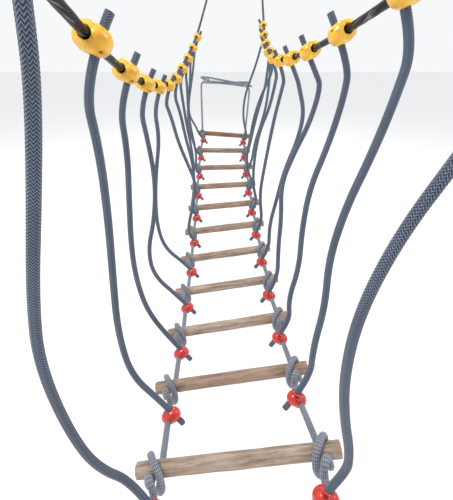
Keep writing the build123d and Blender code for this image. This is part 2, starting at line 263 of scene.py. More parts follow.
def rail_x(y, side):
    if side < 0:
        along = y - LEFT_RAIL_BOW_Y
        bow = LEFT_RAIL_NEAR_BOW if along < 0 else LEFT_RAIL_FAR_BOW
        return LEFT_RAIL_BOW_X + bow * along**2
    along = y - RIGHT_RAIL_BOW_Y
    bow = RIGHT_RAIL_NEAR_BOW if along < 0 else RIGHT_RAIL_FAR_BOW
    return RIGHT_RAIL_BOW_X + bow * along**2


def rail_eyes(side):
    if side < 0:
        return LEFT_NEAR_RAIL_EYE, LEFT_FAR_RAIL_EYE
    return RIGHT_NEAR_RAIL_EYE, RIGHT_FAR_RAIL_EYE


def rail_points(side):
    near_eye, far_eye = rail_eyes(side)
    bends = []
    for index in range(RUNG_COUNT):
        y = connector_y(index) + RUNG_PITCH / 2
        bends.append(Vector((rail_x(y, side), y, rail_height(y, side))))
    start = near_eye + (bends[0] - near_eye).normalized() * ROPE_START
    end = far_eye + (bends[-1] - far_eye).normalized() * ROPE_START
    return [start] + bends + [end]


def connector_matrix(centre_of_main, main_direction, lean, side):
    """A connector's frame: x along the main rope, y up the dropper, z from rope to dropper."""
    inward = Vector((-side, 0, 0))
    raw = inward * sin(radians(lean)) + Vector((0, 0, cos(radians(lean))))
    forward = main_direction.normalized()
    dropper = (raw - forward * raw.dot(forward)).normalized()
    across = forward.cross(dropper)
    if across.dot(inward) < 0:
        across = -across
        forward = -forward
    origin = centre_of_main + across * AXIS_DEPTH
    return axes_matrix(origin, forward, across.cross(forward), across)


def red_matrices(side):
    rope = foot_rope_points(side)
    places = []
    for index in range(RUNG_COUNT):
        entry = rope[1 + index * len(HITCH_ROUTE)]
        before = rope[index * len(HITCH_ROUTE)]
        direction = (entry - before).normalized()
        centre = entry - direction * RED_BEFORE_HITCH
        places.append(connector_matrix(centre, direction, -RED_LEAN, side))
    return places


def yellow_matrices(side):
    rope = rail_points(side)
    places = []
    for index in range(RUNG_COUNT):
        before = rope[index]
        after = rope[index + 1]
        share = (connector_y(index) - before.y) / (after.y - before.y)
        centre = before + (after - before) * share
        lean = LEFT_FIRST_YELLOW_LEAN if side < 0 and index == 0 else YELLOW_LEAN
        places.append(connector_matrix(centre, after - before, lean, side))
    return places


def dropper_points(index, side, red, yellow):
    hanging = (LEFT_DROPPERS if side < 0 else RIGHT_DROPPERS)[index]
    top = yellow @ Vector((0, 0, AXIS_DEPTH))
    low = red @ Vector((0, 0, AXIS_DEPTH))
    up_at_top = yellow.col[1].to_3d()
    up_at_top *= 1 if up_at_top.z > 0 else -1
    up_at_low = red.col[1].to_3d()
    up_at_low *= 1 if up_at_low.z > 0 else -1
    y = connector_y(index)
    middle = [Vector((x, y, z)) for x, z in hanging]
    above = [top + up_at_top * TOP_TAIL, top - up_at_top * DROPPER_LEAD]
    below = [low + up_at_low * DROPPER_LEAD, low - up_at_low * LOWER_TAIL]
    return above + middle + below


def nurbs_line(points, resolution):
    """The rope's smooth centreline: a NURBS spline whose control points are the route's."""
    curve = bpy.data.curves.new("route", "CURVE")
    curve.dimensions = "3D"
    spline = curve.splines.new("NURBS")
    spline.points.add(len(points) - 1)
    for place, point in zip(spline.points, points):
        place.co = (*point, 1)
    spline.order_u = 3
    spline.use_endpoint_u = True
    spline.resolution_u = resolution
    holder = bpy.data.objects.new("route", curve)
    bpy.context.scene.collection.objects.link(holder)
    mesh = bpy.data.meshes.new_from_object(holder)
    line = np.array([vertex.co for vertex in mesh.vertices], float)
    bpy.data.objects.remove(holder)
    bpy.data.curves.remove(curve)
    bpy.data.meshes.remove(mesh)
    return line


# ---- Camera, lights and floor ----
CAMERA_PLACE = Vector((0, -0.200, 0.775))
CAMERA_DOWN = 28
CAMERA_LENS = 26.35
SENSOR_WIDTH = 36
FLOOR_DROP = 0.35
FLOOR_REACH = 40
FLOOR_COLOUR = (0.90, 0.90, 0.90, 1)
FLOOR_ROUGHNESS = 0.9
SKY_COLOUR = (0.98, 0.99, 1.0, 1)
SKY_STRENGTH = 0.95
# name, place, target, size, power, colour
LIGHTS = [
    ("key", (-2.2, -0.6, 4.2), (0, 1.5, 0), 1.6, 130, (1.0, 0.98, 0.95)),
    ("fill", (3.0, 1.0, 3.0), (0, 1.8, 0.2), 2.2, 40, (0.94, 0.97, 1.0)),
    ("back", (0.5, 6.0, 4.5), (0, 2.5, 0.3), 2.0, 60, (1.0, 1.0, 1.0)),
]


def look_at(obj, target):
    obj.rotation_euler = (target - obj.location).to_track_quat("-Z", "Y").to_euler()


def add_camera():
    data = bpy.data.cameras.new("camera")
    data.lens = CAMERA_LENS
    data.sensor_width = SENSOR_WIDTH
    data.sensor_fit = "AUTO"
    data.clip_end = 100
    camera = bpy.data.objects.new("camera", data)
    camera.location = CAMERA_PLACE
    camera.rotation_euler = (radians(90 - CAMERA_DOWN), 0, 0)
    bpy.context.scene.collection.objects.link(camera)
    bpy.context.scene.camera = camera


def add_area_light(name, place, target, size, power, colour):
    data = bpy.data.lights.new(name, "AREA")
    data.shape = "DISK"
    data.size = size
    data.energy = power
    data.color = colour
    light = bpy.data.objects.new(name, data)
    light.location = place
    look_at(light, Vector(target))
    bpy.context.scene.collection.objects.link(light)


def add_studio():
    world = bpy.data.worlds.new("studio")
    world.use_nodes = True
    world.node_tree.nodes["Background"].inputs["Color"].default_value = SKY_COLOUR
    world.node_tree.nodes["Background"].inputs["Strength"].default_value = SKY_STRENGTH
    bpy.context.scene.world = world
    bpy.context.scene.view_settings.view_transform = "Standard"
    for light in LIGHTS:
        add_area_light(*light)
    floor_mesh = bpy.data.meshes.new("floor")
    low = cad_box[0][2] - FLOOR_DROP
    corners = ((-1, -1), (1, -1), (1, 1), (-1, 1))
    floor_mesh.from_pydata(
        [(FLOOR_REACH * x, FLOOR_REACH * y, low) for x, y in corners],
        [],
        [(0, 1, 2, 3)],
    )
    floor = bpy.data.objects.new("floor", floor_mesh)
    bpy.context.scene.collection.objects.link(floor)
    material = bpy.data.materials.new("pale_floor")
    material.use_nodes = True
    shader = material.node_tree.nodes["Principled BSDF"]
    shader.inputs["Base Color"].default_value = FLOOR_COLOUR
    shader.inputs["Roughness"].default_value = FLOOR_ROUGHNESS
    floor_mesh.materials.append(material)


# ---- Material helpers ----
class NodeMaterial:
    """A node material built by name: node() adds a node, wire() joins two sockets."""

    def __init__(self, name):
        self.material = bpy.data.materials.new(name)
        self.material.use_nodes = True
        self.tree = self.material.node_tree
        self.shader = self.tree.nodes["Principled BSDF"]

    def node(self, kind, **settings):
        made = self.tree.nodes.new(kind)
        for key, value in settings.items():
            if key.startswith("in_"):
                made.inputs[key[3:].replace("_", " ")].default_value = value
            else:
                setattr(made, key, value)
        return made

    def wire(self, out_socket, in_socket):
        self.tree.links.new(out_socket, in_socket)

    def math(self, operation, first, second=None, clamp=False):
        made = self.tree.nodes.new("ShaderNodeMath")
        made.operation = operation
        made.use_clamp = clamp
        for slot, value in enumerate((first, second)):
            if value is None:
                continue
            if isinstance(value, (int, float)):
                made.inputs[slot].default_value = value
            else:
                self.wire(value, made.inputs[slot])
        return made.outputs[0]

    def ramp(self, factor, stops):
        made = self.tree.nodes.new("ShaderNodeValToRGB")
        elements = made.color_ramp.elements
        elements[0].position, elements[0].color = stops[0][0], (*stops[0][1], 1)
        elements[1].position, elements[1].color = stops[-1][0], (*stops[-1][1], 1)
        for position, colour in stops[1:-1]:
            elements.new(position).color = (*colour, 1)
        self.wire(factor, made.inputs["Fac"])
        return made.outputs["Color"]

    def mix(self, factor, first, second, kind="MIX"):
        made = self.tree.nodes.new("ShaderNodeMix")
        made.data_type = "RGBA"
        made.blend_type = kind
        for name, value in (("Factor", factor), ("A", first), ("B", second)):
            socket = self.colour_socket(made, name)
            if isinstance(value, (int, float)):
                socket.default_value = value
            elif isinstance(value, tuple):
                socket.default_value = (*value, 1)
            else:
                self.wire(value, socket)
        return made.outputs[2]

    @staticmethod
    def colour_socket(made, name):
        index = {"Factor": 0, "A": 6, "B": 7}[name]
        return made.inputs[index]

    def bump(self, height, strength, distance, below=None):
        made = self.tree.nodes.new("ShaderNodeBump")
        made.inputs["Strength"].default_value = strength
        made.inputs["Distance"].default_value = distance
        self.wire(height, made.inputs["Height"])
        if below is not None:
            self.wire(below, made.inputs["Normal"])
        return made.outputs["Normal"]

    def coordinates(self, kind="Object"):
        return self.tree.nodes.new("ShaderNodeTexCoord").outputs[kind]

    def noise(self, vector, scale, detail=4.0, roughness=0.55):
        made = self.tree.nodes.new("ShaderNodeTexNoise")
        made.inputs["Scale"].default_value = scale
        made.inputs["Detail"].default_value = detail
        made.inputs["Roughness"].default_value = roughness
        self.wire(vector, made.inputs["Vector"])
        return made.outputs["Fac"]

    def scaled(self, vector, scale):
        made = self.tree.nodes.new("ShaderNodeMapping")
        made.inputs["Scale"].default_value = scale
        self.wire(vector, made.inputs["Vector"])
        return made.outputs["Vector"]


def uv_parts(work):
    """The rope's two coordinates: u once round the rope, v in metres along it."""
    split = work.node("ShaderNodeSeparateXYZ")
    work.wire(work.coordinates("UV"), split.inputs[0])
    return split.outputs["X"], split.outputs["Y"]


# ---- Materials ----
def foot_rope_material():
    """A light grey braided cover: lozenges of slightly differing greys, with dark valleys that are painted
    shade where the braid dips.
    """
    work = NodeMaterial("braided_light_grey_rope")
    around, along = uv_parts(work)
    turns = work.math("MULTIPLY", around, BRAID_STRANDS)
    pitch = work.math("MULTIPLY", along, 1 / BRAID_STEP)
    left = work.math("SINE", work.math("MULTIPLY", work.math("ADD", turns, pitch), tau))
    right = work.math("SINE", work.math("MULTIPLY", work.math("SUBTRACT", turns, pitch), tau))
    weave = work.math("MULTIPLY", left, right)
    fine = work.noise(work.coordinates(), 900, 3)
    broad = work.noise(work.coordinates(), 14, 3)
    # painted shade: weave is also the braid's relief, so the colour darkens where the surface dips
    shade = work.math("ADD", work.math("MULTIPLY", weave, 0.28), work.math("MULTIPLY", fine, 0.55))
    shade = work.math("ADD", shade, work.math("MULTIPLY", broad, 0.35))
    colour = work.ramp(
        shade,
        [
            (0.10, (0.045, 0.055, 0.075)),
            (0.45, (0.135, 0.155, 0.195)),
            (0.85, (0.330, 0.360, 0.420)),
        ],
    )
    work.wire(colour, work.shader.inputs["Base Color"])
    work.shader.inputs["Roughness"].default_value = 0.62
    work.shader.inputs["Sheen Weight"].default_value = 0.25
    normal = work.bump(work.math("ADD", weave, fine), 0.55, 0.0006)
    work.wire(normal, work.shader.inputs["Normal"])
    return work.material


def dropper_material():
    """A slate blue knitted sleeve: columns of V-shaped stitches, light threads over dark; the tone follows
    the stitch relief, with painted shade in the dips and darker grooves between the columns.
    """
    work = NodeMaterial("knitted_slate_rope")
    around, along = uv_parts(work)
    column = work.math("MULTIPLY", around, KNIT_COLUMNS)
    within = work.math("FRACT", column)
    fold = work.math("ABSOLUTE", work.math("SUBTRACT", within, 0.5))
    stitch = work.math("MULTIPLY", along, 1 / KNIT_STEP)
    chevron = work.math("ADD", stitch, work.math("MULTIPLY", fold, KNIT_SLANT))
    ridge = work.math("SINE", work.math("MULTIPLY", chevron, tau))
    # painted shade: darker towards the edges of each stitch column, in the grooves between columns
    groove_shade = work.math("MULTIPLY", fold, 2.0)
    fine = work.noise(work.coordinates(), 1100, 2)
    broad = work.noise(work.coordinates(), 9, 3)
    # the ridge term is also the stitch relief: raised stitches lighter and the dips between them darker, as
    # painted shade
    shade = work.math("ADD", work.math("MULTIPLY", ridge, 0.42), work.math("MULTIPLY", fine, 0.35))
    shade = work.math("ADD", shade, work.math("MULTIPLY", broad, 0.28))
    shade = work.math("SUBTRACT", shade, work.math("MULTIPLY", groove_shade, 0.10))
    colour = work.ramp(
        shade,
        [
            (0.0, (0.006, 0.009, 0.018)),
            (0.30, (0.030, 0.046, 0.082)),
            (0.70, (0.170, 0.225, 0.340)),
        ],
    )
    work.wire(colour, work.shader.inputs["Base Color"])
    work.shader.inputs["Roughness"].default_value = 0.55
    work.shader.inputs["Sheen Weight"].default_value = 0.2
    normal = work.bump(work.math("ADD", ridge, fine), 0.6, 0.0008)
    work.wire(normal, work.shader.inputs["Normal"])
    return work.material


def handrail_material():
    """Dark laid strands with a silky gloss painted into the colour: pale highlight lines run along them over
    a lowered specular.
    """
    work = NodeMaterial("laid_charcoal_rope")
    around, along = uv_parts(work)
    twist = work.math("ADD", around, work.math("MULTIPLY", along, 1 / HANDRAIL_LAY))
    threads = work.math("SINE", work.math("MULTIPLY", twist, tau * 36))
    # painted highlight: noise stretched along the strands picks out narrow lines
    highlight_line_coords = work.node("ShaderNodeCombineXYZ")
    work.wire(work.math("MULTIPLY", twist, 9.0), highlight_line_coords.inputs["X"])
    work.wire(work.math("MULTIPLY", along, 6.0), highlight_line_coords.inputs["Y"])
    painted_highlight_lines = work.noise(highlight_line_coords.outputs[0], 2.4, 3)
    # painted highlight: the ramp lifts the near-black strands to pale grey along those lines
    colour = work.ramp(
        painted_highlight_lines,
        [
            (0.44, (0.003, 0.003, 0.005)),
            (0.58, (0.010, 0.011, 0.015)),
            (0.66, (0.260, 0.270, 0.300)),
        ],
    )
    work.wire(colour, work.shader.inputs["Base Color"])
    roughness = work.math("ADD", 0.30, work.math("MULTIPLY", painted_highlight_lines, 0.22))
    work.wire(roughness, work.shader.inputs["Roughness"])
    work.shader.inputs["Specular IOR Level"].default_value = 0.12
    normal = work.bump(threads, 0.35, 0.0003)
    work.wire(normal, work.shader.inputs["Normal"])
    return work.material


def wood_material():
    """Weathered, oiled hardwood dowel: grain along the rung, paler end grain."""
    work = NodeMaterial("weathered_wood")
    uv = work.node("ShaderNodeUVMap", uv_map="grain")
    stretched = work.scaled(uv.outputs[0], (7.0, 60.0, 60.0))
    broad_grain = work.noise(stretched, 1.6, 6, 0.6)
    fibres = work.noise(work.scaled(uv.outputs[0], (30.0, 700.0, 700.0)), 1.2, 4, 0.6)
    blotches = work.noise(work.scaled(uv.outputs[0], (9.0, 14.0, 14.0)), 1.0, 3)
    shade = work.math("ADD", work.math("MULTIPLY", broad_grain, 0.50), work.math("MULTIPLY", fibres, 0.30))
    shade = work.math("ADD", shade, work.math("MULTIPLY", blotches, 0.25))
    side_colour = work.ramp(
        shade,
        [
            (0.38, (0.075, 0.050, 0.036)),
            (0.46, (0.215, 0.152, 0.112)),
            (0.56, (0.370, 0.280, 0.215)),
            (0.68, (0.510, 0.415, 0.335)),
        ],
    )
    tint = work.node("ShaderNodeAttribute", attribute_name="tint")
    side_colour = work.mix(tint.outputs["Fac"], side_colour, (0.62, 0.36, 0.19), "MULTIPLY")
    end_mark = work.node("ShaderNodeAttribute", attribute_name="end_grain")
    end_colour = work.ramp(
        fibres, [(0.3, (0.30, 0.20, 0.11)), (0.7, (0.62, 0.47, 0.30))]
    )
    colour = work.mix(end_mark.outputs["Fac"], side_colour, end_colour)
    work.wire(colour, work.shader.inputs["Base Color"])
    roughness = work.math("ADD", 0.42, work.math("MULTIPLY", broad_grain, 0.3))
    work.wire(roughness, work.shader.inputs["Roughness"])
    normal = work.bump(fibres, 0.35, 0.0006)
    normal = work.bump(broad_grain, 0.30, 0.0012, normal)
    work.wire(normal, work.shader.inputs["Normal"])
    return work.material


def plastic_material(name, base, light, dark, roughness):
    """Moulded glossy plastic with a faint flow pattern and a painted highlight on its convex rims, dulled by
    handling and fine scuffs.
    """
    work = NodeMaterial(name)
    where = work.coordinates()
    cloud = work.noise(where, 28, 4)
    speck = work.noise(where, 420, 4)
    colour = work.ramp(cloud, [(0.30, dark), (0.52, base), (0.72, light)])
    geometry = work.node("ShaderNodeNewGeometry")
    # painted highlight: where pointiness marks a convex rim, the colour is lifted towards the light tone
    edge = work.math("SUBTRACT", geometry.outputs["Pointiness"], 0.51)
    edge = work.math("MULTIPLY", edge, 9.0, clamp=True)
    colour = work.mix(work.math("MULTIPLY", edge, 0.45), colour, light)
    work.wire(colour, work.shader.inputs["Base Color"])
    rough = work.math("ADD", roughness, work.math("MULTIPLY", speck, 0.16))
    work.wire(rough, work.shader.inputs["Roughness"])
    work.shader.inputs["Coat Weight"].default_value = 0.35
    work.shader.inputs["Coat Roughness"].default_value = 0.12
    work.shader.inputs["Subsurface Weight"].default_value = 0.08
    work.shader.inputs["Subsurface Radius"].default_value = (0.006, 0.003, 0.001)
    work.wire(work.bump(speck, 0.12, 0.0004), work.shader.inputs["Normal"])
    return work.material


def metal_material(name, colour, roughness):
    """Satin metal with fine scratches and a little dirt in the tone."""
    work = NodeMaterial(name)
    where = work.coordinates()
    scratches = work.noise(work.scaled(where, (40, 900, 900)), 1.0, 3)
    dirt = work.noise(where, 60, 4)
    dark = tuple(value * 0.55 for value in colour)
    work.wire(work.ramp(dirt, [(0.35, dark), (0.6, colour)]), work.shader.inputs["Base Color"])
    work.shader.inputs["Metallic"].default_value = 1.0
    rough = work.math("ADD", roughness, work.math("MULTIPLY", scratches, 0.2))
    work.wire(rough, work.shader.inputs["Roughness"])
    work.wire(work.bump(scratches, 0.2, 0.0003), work.shader.inputs["Normal"])
    return work.material


# ---- Mesh helpers ----
def add_object(name, mesh, material):
    made = bpy.data.objects.new(name, mesh)
    bpy.context.scene.collection.objects.link(made)
    if not mesh.materials:
        mesh.materials.append(material)
    return made


def even_line(line, step):
    """The same line with its points spaced evenly, about step apart, and its length."""
    runs = np.linalg.norm(np.diff(line, axis=0), axis=1)
    along = np.concatenate([[0], np.cumsum(runs)])
    count = max(8, int(round(along[-1] / step)) + 1)
    at = np.linspace(0, along[-1], count)
    spaced = np.stack([np.interp(at, along, line[:, axis]) for axis in range(3)], axis=1)
    return spaced, at


def line_frames(line):
    """A side vector and an up vector at each point, carried along without twisting."""
    tangents = np.gradient(line, axis=0)
    tangents /= np.linalg.norm(tangents, axis=1)[:, None]
    first = np.cross(tangents[0], (0.0, 0.0, 1.0))
    if np.linalg.norm(first) < 0.3:
        first = np.cross(tangents[0], (1.0, 0.0, 0.0))
    sides = [first / np.linalg.norm(first)]
    for tangent in tangents[1:]:
        side = sides[-1] - tangent * np.dot(sides[-1], tangent)
        sides.append(side / np.linalg.norm(side))
    sides = np.array(sides)
    return tangents, sides, np.cross(tangents, sides)


def rope_mesh(name, line, step, count, radius_at):
    """A closed tube along the line. radius_at(turn, along) gives each vertex's distance out."""
    spaced, along = even_line(line, step)
    tangents, sides, ups = line_frames(spaced)
    turn = np.arange(count) / count
    radius = radius_at(turn[None, :], along[:, None])
    out = sides[:, None, :] * np.cos(tau * turn)[None, :, None]
    out = out + ups[:, None, :] * np.sin(tau * turn)[None, :, None]
    tube = spaced[:, None, :] + out * radius[:, :, None]
    rings = len(spaced)
    vertices = [tube.reshape(-1, 3)]
    cap_rings = []
    for place, direction, ring in ((spaced[0], -tangents[0], 0), (spaced[-1], tangents[-1], rings - 1)):
        inner = place + (tube[ring] - place) * 0.78 + direction * 0.0008
        cap_rings.append(inner)
        vertices.append(inner)
        vertices.append((place + direction * 0.001)[None, :])
    vertices = np.concatenate(vertices)
    faces = []
    ring_index = np.arange(count)
    following = (ring_index + 1) % count
    for ring in range(rings - 1):
        low = ring * count
        high = low + count
        faces.extend(
            zip(low + ring_index, low + following, high + following, high + ring_index)
        )
    base = rings * count
    for end, ring in ((0, 0), (1, rings - 1)):
        inner = base + end * (count + 1)
        centre = inner + count
        for a, b in zip(ring_index, following):
            rim_a, rim_b = ring * count + a, ring * count + b
            if end == 0:
                faces.append((rim_b, rim_a, inner + a, inner + b))
                faces.append((inner + b, inner + a, centre))
            else:
                faces.append((rim_a, rim_b, inner + b, inner + a))
                faces.append((inner + a, inner + b, centre))
    mesh = bpy.data.meshes.new(name)
    mesh.from_pydata(vertices.tolist(), [], [tuple(int(i) for i in face) for face in faces])
    add_rope_uv(mesh, rings, count, along)
    mesh.polygons.foreach_set("use_smooth", [True] * len(mesh.polygons))
    mesh.update()
    return mesh, spaced


def add_rope_uv(mesh, rings, count, along):
    """u runs once round the rope and v is metres along it; a face never spans the seam."""
    loops = np.empty(len(mesh.loops), int)
    mesh.loops.foreach_get("vertex_index", loops)
    tube = rings * count
    ring = np.minimum(loops // count, rings - 1)
    turn = np.where(loops < tube, loops % count, 0) / count
    v = along[ring]
    uv = np.stack([turn, v], axis=1)
    quads = (rings - 1) * count
    corner = uv[: quads * 4].reshape(quads, 4, 2)
    seam = (corner[:, :, 0].max(axis=1) - corner[:, :, 0].min(axis=1)) > 0.5
    wrapped = corner[seam]
    wrapped[:, :, 0] = np.where(wrapped[:, :, 0] < 0.5, wrapped[:, :, 0] + 1, wrapped[:, :, 0])
    corner[seam] = wrapped
    uv[: quads * 4] = corner.reshape(-1, 2)
    layer = mesh.uv_layers.new(name="UVMap")
    layer.data.foreach_set("uv", uv.astype(np.float32).ravel())


# ---- Ropes ----
ROUTE_RESOLUTION = 10
# Each rope's mesh: the step along it in metres, and the points round it.
FOOT_ROPE_MESH = (0.0027, 24)
HANDRAIL_MESH = (0.004, 36)
DROPPER_MESH = (0.0016, 32)
# A dropper bends with the handrail from a little above its red connector to below its yellow one.
BRAID_STRANDS = 6
BRAID_STEP = 0.0135
BRAID_RELIEF = 0.00042
KNIT_COLUMNS = 8
KNIT_STEP = 0.0050
KNIT_SLANT = 1.9
KNIT_RELIEF = 0.00045
HANDRAIL_STRANDS = 6
HANDRAIL_LAY = 0.34
HANDRAIL_RELIEF = 0.0007


def braid_radius(turn, along):
    """Two families of strands crossing, each rising over the other by turns."""
    left = np.sin(tau * (BRAID_STRANDS * turn + along / BRAID_STEP))
    right = np.sin(tau * (BRAID_STRANDS * turn - along / BRAID_STEP))
    return ROPE_RADIUS + BRAID_RELIEF * (left * right)


def knit_radius(turn, along):
    """Columns of stitches: a ridge up each column, notched where one stitch meets the next."""
    within = np.mod(KNIT_COLUMNS * turn, 1.0)
    fold = np.abs(within - 0.5)
    stitch = np.sin(tau * (along / KNIT_STEP + KNIT_SLANT * fold))
    return ROPE_RADIUS + KNIT_RELIEF * (0.6 * stitch + 0.7 * np.cos(tau * fold) - 0.2)


def laid_radius(turn, along):
    """Round strands laid in a long twist."""
    phase = np.mod(HANDRAIL_STRANDS * (turn + along / HANDRAIL_LAY), 1.0)
    bulge = np.sqrt(np.maximum(0.0, 1 - (2 * phase - 1) ** 2))
    return ROPE_RADIUS + HANDRAIL_RELIEF * (1.5 * bulge - 1.0)


def add_foot_rope(name, side, material):
    line = nurbs_line(foot_rope_points(side), ROUTE_RESOLUTION)
    mesh, path = rope_mesh(f"{name}_foot_rope_braid", line, *FOOT_ROPE_MESH, braid_radius)
    rope = add_object(f"{name}_foot_rope_braid", mesh, material)
    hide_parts(f"{name}_foot_rope")
    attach(rope, "deck")


def add_handrail(name, side, material):
    line = nurbs_line(rail_points(side), ROUTE_RESOLUTION * 4)
    mesh, path = rope_mesh(f"{name}_handrail_strands", line, *HANDRAIL_MESH, laid_radius)
    rope = add_object(f"{name}_handrail_strands", mesh, material)
    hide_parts(f"{name}_handrail_rope")
    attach(rope, f"{name}_handrail")


def add_dropper(name, side, index, red, yellow, material):
    node = f"{name}_dropper_{index + 1:02d}"
    points = dropper_points(index, side, red, yellow)
    line = nurbs_line(points, ROUTE_RESOLUTION * 3)
    mesh, path = rope_mesh(f"{node}_knit", line, *DROPPER_MESH, knit_radius)
    rope = add_object(f"{node}_knit", mesh, material)
    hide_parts(node)
    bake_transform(rope)


# ---- Mouldings: the connectors' shells and screws ----
SEAM_HALF_GAP = 0.00025
SHELL_VOXEL = 0.0011
YELLOW_MOUTH = (0.026, 0.0135)
END_ROUND = 0.009
SCREW_HEAD_RADIUS = 0.0033
SCREW_HEAD_BASE = 0.0080
SCREW_HEAD_HEIGHT = 0.0025
SCREW_SEAT_CLEARANCE = 0.0006
SCREW_SEAT_TOP = 0.040
CUT_REACH = 0.06


def revolve(profile, count, axis):
    """A closed solid turned about x or z from (along, radius) points."""
    maker = bmesh.new()
    rings = []
    for along, radius in profile:
        ring = []
        for step in range(count):
            across = (radius * cos(tau * step / count), radius * sin(tau * step / count))
            place = (along, *across) if axis == "x" else (*across, along)
            ring.append(maker.verts.new(place))
        rings.append(ring)
    for low, high in zip(rings, rings[1:]):
        for a in range(count):
            b = (a + 1) % count
            maker.faces.new((low[a], low[b], high[b], high[a]))
    maker.faces.new(rings[0])
    maker.faces.new(rings[-1])
    bmesh.ops.recalc_face_normals(maker, faces=maker.faces)
    mesh = bpy.data.meshes.new("turned")
    maker.to_mesh(mesh)
    maker.free()
    return mesh


def box_mesh(low, high):
    maker = bmesh.new()
    bmesh.ops.create_cube(maker, size=1)
    size = Vector(high) - Vector(low)
    centre = (Vector(high) + Vector(low)) / 2
    for vertex in maker.verts:
        vertex.co = centre + Vector([a * b for a, b in zip(vertex.co, size)])
    mesh = bpy.data.meshes.new("box")
    maker.to_mesh(mesh)
    maker.free()
    return mesh


def temporary(mesh):
    made = bpy.data.objects.new("temporary", mesh)
    bpy.context.scene.collection.objects.link(made)
    return made


def apply_modifiers(target):
    graph = bpy.context.evaluated_depsgraph_get()
    baked = bpy.data.meshes.new_from_object(target.evaluated_get(graph))
    target.modifiers.clear()
    target.data = baked


def cut(target, tool_mesh):
    tool = temporary(tool_mesh)
    modifier = target.modifiers.new("cut", "BOOLEAN")
    modifier.operation = "DIFFERENCE"
    modifier.solver = "EXACT"
    modifier.object = tool
    apply_modifiers(target)
    bpy.data.objects.remove(tool)


def soften(target):
    """Rounds every edge, as a mould does."""
    remesh = target.modifiers.new("remesh", "REMESH")
    remesh.mode = "VOXEL"
    remesh.voxel_size = SHELL_VOXEL
    smooth = target.modifiers.new("smooth", "SMOOTH")
    smooth.factor = 0.5
    smooth.iterations = 4
    apply_modifiers(target)


def channel_mesh(axis, depth):
    radius = ROPE_RADIUS + CHANNEL_CLEARANCE
    mesh = revolve([(-CUT_REACH, radius), (CUT_REACH, radius)], 40, "x")
    turn = Matrix.Rotation(pi / 2, 4, "Z") if axis == "y" else Matrix.Identity(4)
    mesh.transform(Matrix.Translation((0, 0, depth)) @ turn)
    return mesh


def arc_profile(start, middle, end, count):
    """Points on the round arc through three (along, radius) points."""
    (x1, y1), (x2, y2), (x3, y3) = start, middle, end
    a, b = 2 * (x2 - x1), 2 * (y2 - y1)
    c, d = 2 * (x3 - x1), 2 * (y3 - y1)
    e = x2**2 + y2**2 - x1**2 - y1**2
    f = x3**2 + y3**2 - x1**2 - y1**2
    determinant = a * d - b * c
    centre = complex((e * d - b * f) / determinant, (a * f - e * c) / determinant)
    first = complex(*start) - centre
    turn = (complex(*end) - centre) / first
    return [
        ((centre + first * turn ** (step / count)).real, (centre + first * turn ** (step / count)).imag)
        for step in range(count + 1)
    ]


def bean_body(half, end_radius, waist_radius):
    """A bean with a swelling round each rope and a faint waist at the split."""
    bean = arc_profile((-half, end_radius), (0, waist_radius), (half, end_radius), 32)
    waisted = []
    for along, radius in bean:
        split_groove = 0.0014 * np.exp(-((along / 0.0035) ** 2))
        swelling = 0.0005 * np.exp(-(((abs(along) - 0.011) / 0.006) ** 2))
        past = max(0.0, abs(along) - (half - END_ROUND)) / END_ROUND
        waisted.append((along, (radius - split_groove + swelling) * sqrt(1 - 0.62 * past**2)))
    return temporary(revolve(waisted, 56, "z"))


def flare_mesh(end, mouth_radius):
    """The trumpet mouth cut where the main rope enters, at one end of its channel."""
    channel = ROPE_RADIUS + CHANNEL_CLEARANCE
    profile = [
        (end * 1.6, mouth_radius + 0.004),
        (end, mouth_radius),
        (end * 0.75, channel + 0.0015),
        (end * 0.5, channel),
    ]
    mesh = revolve(profile, 40, "x")
    mesh.transform(Matrix.Translation((0, 0, -AXIS_DEPTH)))
    return mesh


def connector_halves(name, body, mouth=None):
    """Both half shells, with their rope channels, trumpet mouths and sunk screw seats."""
    channels = (("x", -AXIS_DEPTH), ("y", AXIS_DEPTH))
    for axis, depth in channels:
        cut(body, channel_mesh(axis, depth))
    if mouth:
        for end in (-mouth[0], mouth[0]):
            cut(body, flare_mesh(end, mouth[1]))
    soften(body)
    for sign in (-1, 1):
        seat_radius = SCREW_HEAD_RADIUS + SCREW_SEAT_CLEARANCE
        seat = revolve([(SCREW_HEAD_BASE, seat_radius), (SCREW_SEAT_TOP, seat_radius)], 24, "z")
        seat.transform(Matrix.Translation((sign * SCREW_AT, sign * SCREW_AT, 0)))
        cut(body, seat)
    reach = CUT_REACH
    halves = []
    for label, low, high in (
        ("rope_shell", -SEAM_HALF_GAP, reach),
        ("dropper_shell", -reach, SEAM_HALF_GAP),
    ):
        half = temporary(body.data.copy())
        cut(half, box_mesh((-reach, -reach, low), (reach, reach, high)))
        mesh = half.data
        mesh.name = f"{name}_{label}"
        mesh.polygons.foreach_set("use_smooth", [True] * len(mesh.polygons))
        mesh.set_sharp_from_angle(angle=radians(38))
        bpy.data.objects.remove(half)
        halves.append(mesh)
    bpy.data.objects.remove(body)
    return halves


def screw_mesh():
    """A pan-head screw with a cross recess."""
    top = SCREW_HEAD_BASE + SCREW_HEAD_HEIGHT
    profile = [
        (-0.009, 0.0008),
        (-0.0075, 0.00175),
        (SCREW_HEAD_BASE, 0.00175),
        (SCREW_HEAD_BASE, SCREW_HEAD_RADIUS),
        (SCREW_HEAD_BASE + 0.0012, SCREW_HEAD_RADIUS),
        (top - 0.0004, SCREW_HEAD_RADIUS * 0.82),
        (top, SCREW_HEAD_RADIUS * 0.45),
    ]
    screw = temporary(revolve(profile, 24, "z"))
    for long, wide in ((0.0021, 0.0004), (0.0004, 0.0021)):
        cut(screw, box_mesh((-long, -wide, top - 0.0013), (long, wide, top + 0.001)))
    mesh = screw.data.copy()
    bpy.data.objects.remove(screw)
    mesh.polygons.foreach_set("use_smooth", [True] * len(mesh.polygons))
    mesh.set_sharp_from_angle(angle=radians(35))
    return mesh


